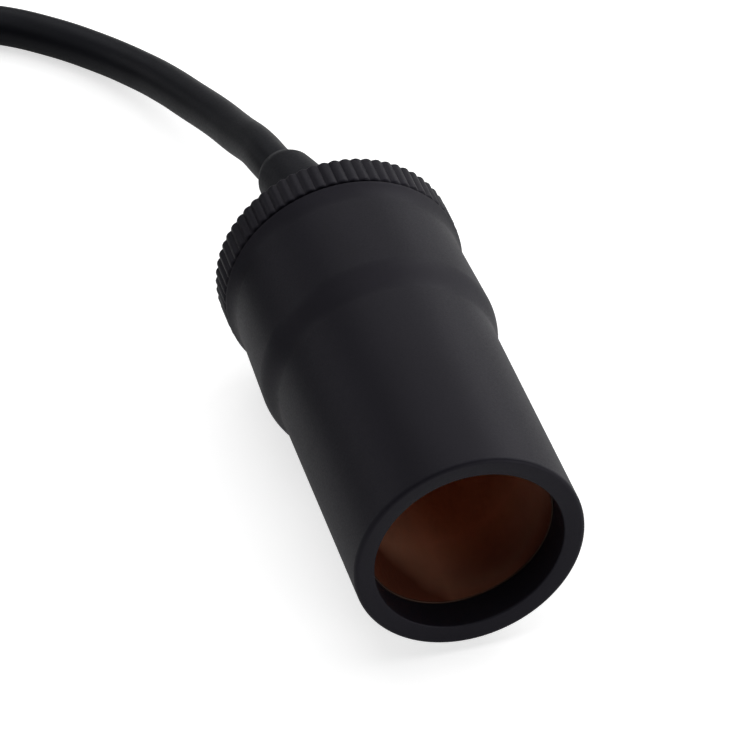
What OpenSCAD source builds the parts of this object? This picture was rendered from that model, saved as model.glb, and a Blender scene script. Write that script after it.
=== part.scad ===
// In-line 12 V power socket for a car, on a lead that ends in a fused 12 V plug.
// The socket lies on its side: it faces -Y, its axis is level and its knurled cap touches the ground.

/* [Socket housing] */
// Inside diameter of the metal contact shell, which takes a 12 V plug
bore_d = 21; // [20.8:0.1:21.4]
// Distance from the mouth to the shoulder that the contact shell's flange seats on
shell_depth = 40; // [37:0.5:44]
// Length of the plastic lip in front of the contact shell
lip_len = 4.1; // [2:0.1:6]
// How much wider than the contact shell the lip is, on radius
lip_step = 0.2; // [0.1:0.05:0.3]
// Wall of the straight front section, outside the contact shell's pocket
front_wall = 2.1; // [1.8:0.05:2.6]
// Rounding of the mouth's outer edge
rim_round = 0.5; // [0.3:0.1:1.2]
// How far the mouth's face falls back towards its inner edge
rim_dish = 0.3; // [0:0.1:0.6]
// Distance from the mouth to the start of the soft taper
taper_start = 30.5; // [26:0.5:33]
// Length of the soft taper
taper_len = 4.5; // [3:0.5:6]
// Wall behind the taper, outside the cavity for the end cap
rear_wall = 1.9; // [1.5:0.05:2.2]
// Wall at the waist in front of the flare
waist_wall = 1.55; // [1.2:0.05:1.8]
// Wall of the flare that meets the end cap
flare_wall = 2.2; // [1.8:0.05:2.6]
// Length of the flare
flare_len = 1.3; // [0.8:0.1:2.5]

/* [End cap] */
// How far the knurl's ribs stand out of the flare, on radius
knurl_step = 0.1; // [0:0.05:0.5]
// Number of ribs round the cap, a multiple of four
knurl_ribs = 68; // [60:4:76]
// Height of a rib
rib_h = 0.3; // [0.3:0.05:0.6]
// Length of the knurled ring
knurl_len = 4.2; // [3.5:0.1:6]
// Width of the groove between the housing and the knurled ring
groove_w = 0.4; // [0.2:0.1:0.8]
// Depth of that groove under the ribs' crests
groove_depth = 0.7; // [0.5:0.1:1]
// Length of the spigot that goes into the housing
spigot_len = 3.3; // [2.5:0.1:5]
// Height of the cap's domed back
dome_h = 2.6; // [2:0.1:4]
// Diameter of the hub that holds the strain relief
hub_d = 13; // [12:0.5:16]
// Length of the hub
hub_len = 1.6; // [1:0.1:3]
// Thickness of the cap's walls
cap_wall = 1.95; // [1.6:0.05:2.2]

/* [Contacts] */
// Thickness of the contact shell's sheet
shell_t = 0.4; // [0.3:0.05:0.5]
// Thickness of the terminal tags
tag_t = 0.5; // [0.4:0.1:0.8]
// Width of the tags' tails
tail_w = 4; // [3:0.5:5]
// Thickness of the insulator's floor
floor_t = 1.8; // [1.4:0.1:2.4]
// Depth of the insulator's recess for the centre contact
recess_depth = 3.2; // [2.6:0.1:4]
// Height of the centre contact's dome
contact_rise = 1.5; // [1:0.1:2]
// Diameter of the rivet's shank
rivet_d = 3; // [2.5:0.1:3.5]
// Diameter of the rivet's heads
rivet_head_d = 4.8; // [4.2:0.1:5.2]

/* [Lead] */
// Diameter of the lead's sheath
cable_d = 5.2; // [5:0.1:5.4]
// Diameter of an insulated core
core_d = 1.8; // [1.4:0.1:2]
// Length of the socket's strain relief outside the cap
relief_len = 15.5; // [12:0.5:20]
// Length of the plug's strain relief outside the handle
plug_relief_len = 14; // [12:0.5:15]
// Diameter of the strain reliefs at the housing
relief_base_d = 10.4; // [9:0.1:11]
// Diameter of the strain reliefs at their ends
relief_tip_d = 6.8; // [6.2:0.1:7]
// Thickness of the strap round the coil
strap_t = 0.6; // [0.4:0.1:1]
// Width of the strap round the coil
strap_w = 5; // [4:0.5:8]

/* [Plug] */
// How much narrower than the contact shell the barrel is
plug_play = 0.4; // [0.3:0.1:0.6]
// Length of the barrel behind the nose ring
barrel_len = 28; // [27:0.5:32]
// Diameter of the collar that stops the plug at a socket's mouth
collar_d = 24; // [22:0.5:26]
// Thickness of that collar
collar_t = 2.4; // [1.5:0.1:4]
// Length of the handle with its collar
handle_len = 32; // [31:0.5:33]
// Diameter of the handle's cable end
handle_end_d = 16; // [14:0.5:18]
// Diameter of the nose ring
nose_d = 15.6; // [15:0.1:17]
// Length of the nose ring
nose_len = 6; // [5:0.1:7]
// Diameter of the sprung centre pin
pin_d = 6.8; // [6:0.1:7.4]
// How far the centre pin stands out of the nose ring
pin_reach = 5; // [4:0.1:6]
// How far the centre pin can be pushed in
pin_travel = 3.5; // [2:0.1:4]
// Diameter of the glass fuse
fuse_d = 6.3; // [6:0.1:6.4]
// Length of the glass fuse
fuse_len = 30; // [28:0.5:30]
// How far the side contacts stand proud of the barrel
side_proud = 1.1; // [0.6:0.1:1.3]
// Width of the side contacts
side_w = 5; // [4:0.5:6]
// Thickness of the side contacts
side_t = 0.5; // [0.4:0.1:0.6]

/* [Hidden] */
fine = 96;
medium = 48;

// Clearances between parts that fit together
press_gap = 0.05;
slip_gap = 0.1;
play_gap = 0.3;

// Socket, measured along its axis from the mouth
bore_r = bore_d / 2;
pocket_r = bore_r + shell_t + press_gap;
lip_r = bore_r + lip_step;
lip_edge = 0.2;
front_r = pocket_r + front_wall;
flange_r = pocket_r + 1.1;
cavity_r = flange_r + 0.15;
rear_r = cavity_r + rear_wall;
waist_r = cavity_r + waist_wall;
flare_r = cavity_r + flare_wall;
tag_z = shell_depth + shell_t;
insulator_z = tag_z + tag_t;
insulator_floor_z = insulator_z + recess_depth;
insulator_back_z = insulator_floor_z + floor_t;
housing_end_z = insulator_back_z + spigot_len;
knurl_z = housing_end_z + groove_w;
knurl_back_z = knurl_z + knurl_len;
hub_z = knurl_back_z + dome_h;
socket_len = hub_z + hub_len;
knurl_r = flare_r + knurl_step;
knurl_edge = 0.35;
spigot_r = cavity_r - press_gap;
cap_bore_r = spigot_r - cap_wall;
axis_h = knurl_r;

// Insulator, tags and centre contact
recess_r = bore_r + 0.2;
insulator_r = cavity_r - press_gap;
tail_r = cap_bore_r - play_gap;
tail_bend_z = insulator_floor_z + 0.8;
tail_reach = 3.2;
tail_end_z = insulator_back_z + tail_reach;
shank_r = rivet_d / 2;
rivet_head_r = rivet_head_d / 2;
rivet_head_t = 0.6;
rivet_bore_r = 0.9;
contact_t = 0.5;
contact_r = 6.2;
contact_brim = 1.2;
contact_top_z = insulator_floor_z - contact_t - contact_rise;
live_tag_r = 3.4;
live_tail_r = 6.8;

// Strain relief on the socket, in the end cap's hub
relief_neck_r = 4.1;
relief_flange_r = 6;
relief_flange_t = 1.2;
hub_hole_r = relief_neck_r + slip_gap;
cap_floor_z = hub_z - 2.2;
relief_bore_r = cable_d / 2 + slip_gap;
cable_r = cable_d / 2;
core_r = core_d / 2;
core_side = 1.3;

// Coil of the lead: two turns side by side in each of two layers, and one more on the outer ones
coil_x = -64.3;
coil_y = 75.6;
coil_mid_r = 27.3;
strap_angle = -45;
strap_gap = 0.15;
turn_in = coil_mid_r - cable_r;
turn_out = coil_mid_r + cable_r;
layer_z = [for (i = [0:2]) strap_t + strap_gap + cable_r + i * cable_d];

// Where the plug's tip lies: its axis is in line with the coil's outer turn
plug_x = coil_x - turn_out;
plug_y = -29;

// Lead: where its centre line runs, in millimetres from the origin. It leaves the cap, droops to
// the ground, swings round to the left and lies down in a coil, then goes down into the plug.
half_len = socket_len / 2;
cable_route = [[0, 23, 14.5], [0, 29, 14.5], [0, 34, 14.5], [-0.4, 38.5, 14.3], [-1, 43, 13.8],
    [-1.6, 46.5, 13.2], [-2.1, 52.5, 11.7], [-2.9, 58, 9.9], [-4, 65, 7.9], [-5.7, 72, 6.1],
    [-7.3, 77.5, 4.9], [-9.3, 82.6, 3.9], [-14, 90.4, 2.9], [-19.2, 96, 2.7], [-24.6, 100.1, 2.7],
    [-31.2, 103.2, 2.7], [-38.5, 104.9, 2.8], [-46, 105.4, 2.9], [-54, 105.5, 3.1], [coil_x, 105.5, 3.35]];
tail_way = [[76, 13.7], [71.5, 13.7], [68, 13.65], [65, 13.4], [62, 12.9], [59, 12.35], [56, 12.03],
    [52, 12], [44, 12], [36, 12]];
tail_route = [for (p = tail_way) [plug_x, p[0], p[1]]];
cable_sides = 12;
sheath_z = half_len + cable_route[0][1];

// Plug, measured along its axis from the tip of the centre pin
nose_z = pin_reach;
barrel_z = nose_z + nose_len;
collar_z = barrel_z + barrel_len;
handle_z = collar_z + collar_t;
handle_end_z = collar_z + handle_len;
plug_h = collar_d / 2;
barrel_r = (bore_d - plug_play) / 2;
barrel_wall = 1.2;
barrel_edge = 1.7;
barrel_bevel = 2.5;
barrel_bore_r = barrel_r - barrel_wall;
thread_r = 6.4;
thread_z = nose_z + 2;
nose_wall = 1.5;
pin_r = pin_d / 2;
pin_nose_h = 2;
pin_shoulder_r = pin_r + 1.3;
pin_shoulder_t = 2.5;
pin_shoulder_z = nose_z + nose_wall;
pin_back_z = pin_shoulder_z + pin_shoulder_t;
pin_bore_r = pin_shoulder_r + 0.1;
fuse_r = fuse_d / 2;
fuse_cap_len = 6;
fuse_cap_t = 0.35;
fuse_z = pin_back_z;
fuse_end_z = fuse_z + fuse_len;
channel_z = pin_back_z + pin_travel + play_gap;
channel_r = fuse_r + play_gap;
channel_wall = 1.3;
spring_len = 8;
spring_wire_r = 0.35;
spring_turns = 6;
rear_contact_z = fuse_end_z + spring_len;
rear_contact_t = 0.8;
rear_contact_r = channel_r + 1.2;
bulkhead_end_z = rear_contact_z + rear_contact_t + 1.5;
handle_wall = 1.8;
handle_r = collar_d / 2 - 1;
handle_floor_z = handle_end_z - 3;
web_t = 1.6;
boss_r = 3;
split_gap = 0.02;
screw_z = bulkhead_end_z + boss_r + 3;
screw_r = 1.2;
screw_head_r = 2.6;
screw_head_t = 1.6;
slot_len = 3.2;
slot_w = 0.6;
slot_depth = 0.8;
screw_head_y = 6.6;

// Side contacts: a bowed strip each, hinged at its rear end inside the barrel
side_lead = 6.5;
side_front_z = barrel_z + side_lead;
side_back_z = collar_z - 1;
side_foot = 3.5;
side_len = side_back_z - side_foot - side_front_z;
side_room_r = sqrt(pow(barrel_bore_r, 2) - pow(side_w / 2, 2));
side_rest_r = side_room_r - play_gap - side_t / 2;
side_bow = barrel_r + side_proud - side_t / 2 - side_rest_r;
side_steps = 16;
slot_gap = 0.3;
bridge_t = 0.6;
bridge_z = side_back_z + 0.2;
bridge_ring = 1.6;
bulkhead_z = bridge_z + bridge_t + press_gap;
core_hole_r = core_r + 0.4;
earth_hole_x = -7;
plug_sheath_z = tail_route[len(tail_route) - 1][1] - plug_y;

// Where a core inside the plug's handle runs, from beside the screw's boss to the sheath
core_beside = boss_r + core_r + 0.4;
core_way = [[core_beside, 0, screw_z - 1.5], [core_beside, 0, screw_z + 1],
    [core_beside * 0.8, 0, screw_z + boss_r + 0.6], [core_side + 0.6, 0, plug_sheath_z - 3],
    [core_side, 0, plug_sheath_z - 1]];

// Points of an arc about c, from angle a to angle b
function arc(c, r, a, b, n) = [for (i = [0:n]) let (t = a + (b - a) * i / n) c + r * [cos(t), sin(t)]];

// A smooth step from 0 to 1
function ease(t) = (1 - cos(180 * t)) / 2;

// Points of a smooth change of radius from r0 to r1 over the length from z0 to z1
function blend(r0, r1, z0, z1, n) =
    [for (i = [0:n]) [r0 + (r1 - r0) * ease(i / n), z0 + (z1 - z0) * i / n]];

// A point on the smooth curve between p1 and p2, with p0 and p3 as their neighbours
function between(p0, p1, p2, p3, t) = 0.5 * (2 * p1 + (p2 - p0) * t
    + (2 * p0 - 5 * p1 + 4 * p2 - p3) * t * t + (3 * p1 - p0 - 3 * p2 + p3) * t * t * t);

// The smooth curve through points p, with k steps from each to the next
function curve(p, k) = let (last = len(p) - 1) concat(
    [for (i = [0:last - 1]) for (j = [0:k - 1])
        between(p[max(i - 1, 0)], p[i], p[i + 1], p[min(i + 2, last)], j / k)],
    [p[last]]);

// Direction of a line of points p at its point i
function heading(p, i) = let (d = p[min(i + 1, len(p) - 1)] - p[max(i - 1, 0)]) d / norm(d);

// Ring of n points of radius r about point i of the line p, turned to face along it
function ring_at(p, i, r, n, side) =
    let (t = heading(p, i), u = cross(t, side), a = u / norm(u), b = cross(t, a))
    [for (k = [0:n - 1]) p[i] + r * (cos(360 * k / n) * a + sin(360 * k / n) * b)];

// Faces of one skin of rings, n points each, starting at point base, and turned over if flip
function skin(rings, n, base, flip) = [for (i = [0:rings - 2]) for (k = [0:n - 1])
    let (a = base + i * n + k, b = base + i * n + (k + 1) % n)
    for (f = [[a, a + n, b + n], [a, b + n, b]]) flip ? [f[2], f[1], f[0]] : f];

// A solid rod of radius r along the points p. Across the rod, "side" lies at its first point.
module rod(p, r, n, side) {
    rings = len(p);
    points = [for (i = [0:rings - 1]) for (q = ring_at(p, i, r, n, side)) q];
    caps = [[for (k = [0:n - 1]) k], [for (k = [0:n - 1]) rings * n - 1 - k]];
    polyhedron(points, concat(caps, skin(rings, n, 0, false)));
}

// A hollow sleeve along the points p, with an outside radius for each point
module bent_sleeve(p, radii, bore, n, side) {
    rings = len(p);
    outer = [for (i = [0:rings - 1]) for (q = ring_at(p, i, radii[i], n, side)) q];
    inner = [for (i = [0:rings - 1]) for (q = ring_at(p, i, bore, n, side)) q];
    all = rings * n;
    last = (rings - 1) * n;
    near_end = [for (k = [0:n - 1]) let (m = (k + 1) % n) [k, m, all + m, all + k]];
    far_end = [for (k = [0:n - 1]) let (m = (k + 1) % n)
        [last + m, last + k, all + last + k, all + last + m]];
    polyhedron(concat(outer, inner),
        concat(near_end, far_end, skin(rings, n, 0, false), skin(rings, n, all, true)));
}

// Lays a part that is drawn along +Z with its mouth at zero onto the socket's level axis
module on_socket() {
    translate([0, -half_len, axis_h]) rotate([-90, 0, 0]) children();
}

// The same for the plug
module on_plug() {
    translate([plug_x, plug_y, plug_h]) rotate([-90, 0, 0]) children();
}

// A strip whose outline in radius and length lies towards +X, of the given width
module tail(outline, width) {
    rotate([90, 0, 0]) linear_extrude(width, center = true) polygon(outline);
}

// Moulded housing: plain bore at the lip, pocket for the contact shell, wide cavity for the cap
module housing() {
    edge = 0.15;
    outer = concat(
        arc([front_r - rim_round, rim_round], rim_round, -90, 0, 8),
        blend(front_r, rear_r, taper_start, taper_start + taper_len, 8),
        blend(waist_r, flare_r, housing_end_z - edge - flare_len, housing_end_z - edge, 6),
        [[flare_r - edge, housing_end_z]]);
    inner = [[cavity_r, housing_end_z], [cavity_r, shell_depth], [pocket_r, shell_depth],
        [pocket_r, lip_len], [lip_r, lip_len], [lip_r, rim_dish + lip_edge], [lip_r + lip_edge, rim_dish]];
    color([0.1, 0.1, 0.11]) on_socket() rotate_extrude($fn = fine) polygon(concat(outer, inner));
}

// Radius of the knurl's rounded ribs at angle a
function knurl_at(a) = knurl_r - rib_h * (1 - pow(abs(cos(knurl_ribs * a / 2)), 0.7));

// End cap: spigot in the housing, knurled ring, domed back and the hub for the strain relief
module end_cap() {
    rib_steps = 6;
    count = knurl_ribs * rib_steps;
    groove_r = knurl_r - groove_depth;
    back_r = knurl_r - rib_h - 0.1;
    profile = [[spigot_r, insulator_back_z], [spigot_r, housing_end_z], [groove_r, housing_end_z],
        [groove_r, knurl_z], [knurl_r - knurl_edge, knurl_z], [knurl_r, knurl_z + knurl_edge],
        [knurl_r, knurl_back_z - knurl_edge], [back_r, knurl_back_z], [back_r - 0.6, knurl_back_z + 0.3],
        [hub_d / 2 + 0.8, hub_z - 0.1], [hub_d / 2, hub_z + 0.2], [hub_d / 2, socket_len - 0.4],
        [hub_d / 2 - 0.4, socket_len], [hub_hole_r, socket_len], [hub_hole_r, cap_floor_z],
        [cap_bore_r - 2, cap_floor_z], [cap_bore_r, cap_floor_z - 2], [cap_bore_r, insulator_back_z]];
    color([0.11, 0.11, 0.12]) on_socket() difference() {
        rotate_extrude($fn = fine) polygon(profile);
        translate([0, 0, knurl_z]) linear_extrude(knurl_len) difference() {
            circle(knurl_r + 1, $fn = fine);
            polygon([for (i = [0:count - 1]) let (a = 360 * i / count) knurl_at(a) * [cos(a), sin(a)]]);
        }
    }
}

// Contact shell: a drawn sleeve with a flange that the cap clamps
module contact_shell() {
    profile = [[bore_r, lip_len], [bore_r + shell_t, lip_len], [bore_r + shell_t, shell_depth],
        [flange_r, shell_depth], [flange_r, shell_depth + shell_t], [bore_r, shell_depth + shell_t]];
    color([0.45, 0.2, 0.1]) on_socket() rotate_extrude($fn = fine) polygon(profile);
}

// Earth tag: a ring behind the contact shell's flange, with a tail bent back into the cap
module earth_tag() {
    rim = flange_r - 0.2;
    bend = tail_bend_z + tag_t;
    outline = [[rim, tag_z], [rim, bend], [tail_r, bend], [tail_r, tail_end_z], [tail_r - tag_t, tail_end_z],
        [tail_r - tag_t, tail_bend_z], [rim - tag_t, tail_bend_z], [rim - tag_t, tag_z]];
    color([0.75, 0.7, 0.55]) on_socket() union() {
        translate([0, 0, tag_z]) linear_extrude(tag_t) difference() {
            circle(flange_r, $fn = fine);
            circle(recess_r, $fn = fine);
        }
        mirror([1, 0, 0]) tail(outline, tail_w);
    }
}

// Insulator: a dished disc that carries the centre contact, notched for the earth tag's tail
module insulator() {
    hole_r = shank_r + press_gap;
    profile = [[hole_r, insulator_floor_z], [recess_r, insulator_floor_z], [recess_r, insulator_z],
        [insulator_r, insulator_z], [insulator_r, insulator_back_z], [hole_r, insulator_back_z]];
    notch_in = tail_r - tag_t - play_gap;
    color([0.35, 0.2, 0.12]) on_socket() difference() {
        rotate_extrude($fn = fine) polygon(profile);
        translate([-insulator_r - 1, -tail_w / 2 - play_gap, insulator_z - 1])
            cube([insulator_r + 1 - notch_in, tail_w + 2 * play_gap, recess_depth + floor_t + 2]);
    }
}

// Centre contact: a domed brass washer on the insulator's floor
module centre_contact() {
    hole_r = shank_r + press_gap;
    low = insulator_floor_z - contact_t;
    profile = [[hole_r, contact_top_z], [rivet_head_r + 0.2, contact_top_z], [contact_r - contact_brim, low],
        [contact_r, low], [contact_r, insulator_floor_z],
        [contact_r - contact_brim - 0.2, insulator_floor_z],
        [rivet_head_r, contact_top_z + contact_t], [hole_r, contact_top_z + contact_t]];
    color([0.8, 0.65, 0.3]) on_socket() rotate_extrude($fn = medium) polygon(profile);
}

// Hollow rivet through the centre contact, the insulator and the live tag
module centre_rivet() {
    back = insulator_back_z + tag_t;
    front = contact_top_z - rivet_head_t;
    profile = [[rivet_bore_r, front], [rivet_head_r - 0.3, front], [rivet_head_r, front + 0.3],
        [rivet_head_r, contact_top_z], [shank_r, contact_top_z],
        [shank_r, back], [rivet_head_r, back], [rivet_head_r, back + rivet_head_t],
        [rivet_bore_r, back + rivet_head_t]];
    color([0.8, 0.68, 0.35]) on_socket() rotate_extrude($fn = medium) polygon(profile);
}

// Live tag: a washer behind the insulator, with an upright tail for its core
module live_tag() {
    z = insulator_back_z;
    outline = [[live_tag_r - 1, z], [live_tail_r, z], [live_tail_r, tail_end_z],
        [live_tail_r - tag_t, tail_end_z], [live_tail_r - tag_t, z + tag_t], [live_tag_r - 1, z + tag_t]];
    color([0.75, 0.7, 0.55]) on_socket() difference() {
        union() {
            translate([0, 0, z]) cylinder(r = live_tag_r, h = tag_t, $fn = medium);
            tail(outline, tail_w - 1);
        }
        translate([0, 0, z - 1]) cylinder(r = shank_r + press_gap, h = tag_t + 2, $fn = medium);
    }
}

// A core that runs from the end of the sheath to a face at radius reach, on the side of sign
module socket_core(reach, sign) {
    low = tail_end_z - core_r - 0.2;
    span = reach - core_side;
    way = curve([[core_side, 0, sheath_z - 0.5], [core_side + 0.3, 0, sheath_z - 1.2],
        [core_side + span * 0.4, 0, low + 0.4], [core_side + span * 0.7, 0, low], [reach - 0.5, 0, low]], 2);
    line = concat([[core_side, 0, sheath_z]], way, [[reach, 0, low]]);
    on_socket() mirror([sign < 0 ? 1 : 0, 0, 0]) rod(line, core_r, 8, [0, 1, 0]);
}

module live_core() {
    color([0.6, 0.08, 0.06]) socket_core(live_tail_r - tag_t, 1);
}

module earth_core() {
    color([0.08, 0.08, 0.08]) socket_core(tail_r - tag_t, -1);
}

// Strain relief of the socket: a soft sleeve that is trapped in the hub and bends with the lead
module strain_relief() {
    flange_y = cap_floor_z - half_len;
    hub_face_y = socket_len - half_len;
    straight = [for (y = [flange_y - relief_flange_t, flange_y - 0.02, flange_y,
        hub_face_y, hub_face_y + 0.02, hub_face_y + 1]) [0, y, axis_h]];
    along = curve([for (i = [1:6]) cable_route[i]], 3);
    bent = [for (p = along) if (p[1] > hub_face_y + 2 && p[1] < hub_face_y + relief_len + 0.01) p];
    line = concat(straight, bent);
    reach = bent[len(bent) - 1][1] - hub_face_y;
    base_r = relief_base_d / 2;
    radii = concat([relief_flange_r, relief_flange_r, relief_neck_r, relief_neck_r, base_r, base_r],
        [for (p = bent) base_r + (relief_tip_d / 2 - base_r) * (p[1] - hub_face_y) / reach]);
    color([0.1, 0.1, 0.1]) bent_sleeve(line, radii, relief_bore_r, 16, [1, 0, 0]);
}

// The lead from inside the cap to the coil
module cable() {
    color([0.09, 0.09, 0.1]) rod(cable_route, cable_r, cable_sides, [1, 0, 0]);
}

// Outer shape of the coil: two turns wide and two turns high, with one more over the outer ones
module cable_coil() {
    section = concat(
        arc([turn_out, layer_z[2]], cable_r, 0, 180, 8),
        [[coil_mid_r, layer_z[1] + cable_r]],
        arc([turn_in, layer_z[1]], cable_r, 90, 180, 4),
        arc([turn_in, layer_z[0]], cable_r, 180, 270, 4),
        arc([turn_out, layer_z[0]], cable_r, 270, 360, 4));
    color([0.09, 0.09, 0.1]) translate([coil_x, coil_y, 0])
        rotate_extrude($fn = fine) polygon(section);
}

// Outline round the coil's turns, at a distance from the lead's sheath
module strap_outline(gap) {
    hull() {
        for (p = [[turn_in, layer_z[0]], [turn_out, layer_z[0]], [turn_in, layer_z[1]],
            [turn_out, layer_z[2]]]) translate(p) circle(cable_r + gap, $fn = 32);
    }
}

// Strap that holds the coil's turns together
module cable_tie() {
    color([0.2, 0.2, 0.2]) translate([coil_x, coil_y, 0]) rotate([90, 0, strap_angle])
        linear_extrude(strap_w, center = true) difference() {
            strap_outline(strap_gap + strap_t);
            strap_outline(strap_gap);
        }
}

// The lead from the coil to inside the plug
module cable_tail() {
    color([0.09, 0.09, 0.1]) rod(tail_route, cable_r, cable_sides, [1, 0, 0]);
}

// Radius of the plug's handle at length z
function handle_at(z) = handle_r + (handle_end_d / 2 - handle_r)
    * ease(max(0, z - handle_z - 2) / (handle_end_z - handle_z - 3));

// Outside of the plug's body, turned about its axis
module plug_body_outside() {
    grooves = 4;
    groove_pitch = 2.4;
    groove_r = 0.7;
    groove_start = screw_z + screw_head_r + groove_pitch;
    taper = [for (i = [0:10])
        let (z = handle_z + 2 + (handle_end_z - handle_z - 3) * i / 10) [handle_at(z), z]];
    profile = concat(
        [[0, thread_z], [thread_r, thread_z], [thread_r, barrel_z], [barrel_r - barrel_edge, barrel_z],
        [barrel_r, barrel_z + barrel_bevel], [barrel_r, collar_z], [plug_h - 0.5, collar_z],
        [plug_h, collar_z + 0.5], [plug_h, handle_z - 0.5], [plug_h - 0.5, handle_z],
        [handle_r, handle_z + 0.4]],
        taper, [[handle_end_d / 2 - 0.8, handle_end_z], [0, handle_end_z]]);
    difference() {
        rotate_extrude($fn = fine) polygon(profile);
        for (i = [0:grooves - 1]) let (z = groove_start + i * groove_pitch) translate([0, 0, z])
            rotate_extrude($fn = fine) translate([handle_at(z) + 0.2, 0]) circle(groove_r, $fn = 16);
    }
}

// Everything that is hollow inside the plug's body
module plug_body_inside() {
    nose_room = [[0, thread_z - 1], [pin_bore_r, thread_z - 1], [pin_bore_r, channel_z],
        [channel_r, channel_z],
        [channel_r, rear_contact_z], [rear_contact_r + slip_gap, rear_contact_z],
        [rear_contact_r + slip_gap, rear_contact_z + rear_contact_t + slip_gap],
        [core_hole_r, rear_contact_z + rear_contact_t + slip_gap], [core_hole_r, bulkhead_end_z + 1],
        [0, bulkhead_end_z + 1]];
    barrel_room = [[channel_r + channel_wall, channel_z + 1.5], [barrel_bore_r, channel_z + 1.5],
        [barrel_bore_r, bulkhead_z], [channel_r + channel_wall, bulkhead_z]];
    handle_room = [[0, bulkhead_end_z], [handle_r - handle_wall - 1, bulkhead_end_z],
        [handle_end_d / 2 - handle_wall, handle_floor_z], [hub_hole_r, handle_floor_z],
        [hub_hole_r, handle_end_z + 1], [0, handle_end_z + 1]];
    rotate_extrude($fn = medium) polygon(nose_room);
    difference() {
        rotate_extrude($fn = fine) polygon(barrel_room);
        translate([-web_t / 2, -barrel_r, channel_z])
            cube([web_t, 2 * barrel_r, bridge_z - play_gap - channel_z]);
    }
    difference() {
        rotate_extrude($fn = medium) polygon(handle_room);
        translate([0, 0, screw_z]) rotate([90, 0, 0])
            cylinder(r = boss_r, h = collar_d, center = true, $fn = medium);
    }
    translate([earth_hole_x, 0, bulkhead_z - 1])
        cylinder(r = core_hole_r, h = bulkhead_end_z - bulkhead_z + 2, $fn = 24);
    for (side = [-1, 1]) translate([side * barrel_r, 0, side_front_z + side_len / 2])
        cube([2 * barrel_wall + 2, side_w + 2 * slot_gap, side_len - 1], center = true);
}

// Half of the plug's body, split level with its axis. The screw's holes follow from its sizes.
module plug_half(up) {
    away = collar_d;
    difference() {
        plug_body_outside();
        plug_body_inside();
        translate([-away, up ? -split_gap / 2 : split_gap / 2 - away * 2, -1])
            cube([2 * away, 2 * away, handle_end_z + 2]);
        translate([0, 0, screw_z]) rotate([90, 0, 0])
            cylinder(r = screw_r + (up ? 0.2 : 0.02), h = 2 * screw_head_y + 0.4, center = true, $fn = 24);
        translate([0, -screw_head_y, screw_z]) rotate([90, 0, 0])
            cylinder(r = screw_head_r + 0.2, h = collar_d, $fn = medium);
    }
}

module plug_half_upper() {
    color([0.1, 0.1, 0.11]) on_plug() plug_half(true);
}

module plug_half_lower() {
    color([0.1, 0.1, 0.11]) on_plug() plug_half(false);
}

// Screw that holds the two halves together, with its head sunk in the upper one
module plug_screw() {
    color([0.6, 0.6, 0.62]) on_plug() translate([0, 0, screw_z]) rotate([90, 0, 0]) union() {
        translate([0, 0, -screw_head_y]) cylinder(r = screw_r, h = 2 * screw_head_y, $fn = 24);
        translate([0, 0, screw_head_y]) difference() {
            cylinder(r = screw_head_r, h = screw_head_t, $fn = medium);
            for (a = [0, 90]) rotate([0, 0, a])
                translate([-slot_len / 2, -slot_w / 2, screw_head_t - slot_depth]) cube([slot_len, slot_w, 1]);
        }
    }
}

// Ring that is screwed onto the nose and keeps the centre pin in
module nose_ring() {
    profile = [[pin_r + press_gap, nose_z], [nose_d / 2 - 1.6, nose_z], [nose_d / 2, nose_z + 1.6],
        [nose_d / 2, barrel_z - 0.1], [thread_r + press_gap, barrel_z - 0.1],
        [thread_r + press_gap, pin_shoulder_z], [pin_r + press_gap, pin_shoulder_z]];
    color([0.7, 0.7, 0.72]) on_plug() rotate_extrude($fn = fine) polygon(profile);
}

// Sprung centre pin, with a shoulder behind the nose ring
module centre_pin() {
    nose = arc([pin_r - pin_nose_h, pin_nose_h], pin_nose_h, -90, 0, 6);
    profile = concat([[0, 0]], nose, [[pin_r, pin_shoulder_z], [pin_shoulder_r, pin_shoulder_z],
        [pin_shoulder_r, pin_back_z], [0, pin_back_z]]);
    color([0.78, 0.78, 0.8]) on_plug() rotate_extrude($fn = medium) polygon(profile);
}

// Glass tube of the fuse
module fuse_glass() {
    color([0.8, 0.85, 0.85, 0.5]) on_plug() translate([0, 0, fuse_z + fuse_cap_t]) difference() {
        cylinder(r = fuse_r - fuse_cap_t, h = fuse_len - 2 * fuse_cap_t, $fn = medium);
        translate([0, 0, -1]) cylinder(r = fuse_r - fuse_cap_t - 0.7, h = fuse_len + 2, $fn = medium);
    }
}

// Metal cap of the fuse, open towards the glass
module fuse_cap() {
    difference() {
        cylinder(r = fuse_r, h = fuse_cap_len, $fn = medium);
        translate([0, 0, fuse_cap_t]) cylinder(r = fuse_r - fuse_cap_t, h = fuse_cap_len, $fn = medium);
    }
}

module fuse_cap_front() {
    color([0.8, 0.8, 0.8]) on_plug() translate([0, 0, fuse_z]) fuse_cap();
}

module fuse_cap_rear() {
    color([0.8, 0.8, 0.8]) on_plug() translate([0, 0, fuse_end_z]) mirror([0, 0, 1]) fuse_cap();
}

// Spring behind the fuse, which pushes it and the centre pin forward
module pin_spring() {
    steps = 12;
    mean_r = fuse_r - spring_wire_r - 0.2;
    first = fuse_end_z + spring_wire_r + 0.02;
    rise = spring_len - 2 * spring_wire_r - 0.04;
    count = spring_turns * steps;
    coil = [for (i = [0:count]) let (a = 360 * i / steps)
        [mean_r * cos(a), mean_r * sin(a), first + rise * i / count]];
    color([0.7, 0.7, 0.7]) on_plug() rod(coil, spring_wire_r, 6, [0, 0, 1]);
}

// Brass disc behind the spring, in a slot of the plug's body
module rear_contact() {
    color([0.8, 0.65, 0.3]) on_plug() translate([0, 0, rear_contact_z + slip_gap / 2])
        cylinder(r = rear_contact_r, h = rear_contact_t, $fn = medium);
}

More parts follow.
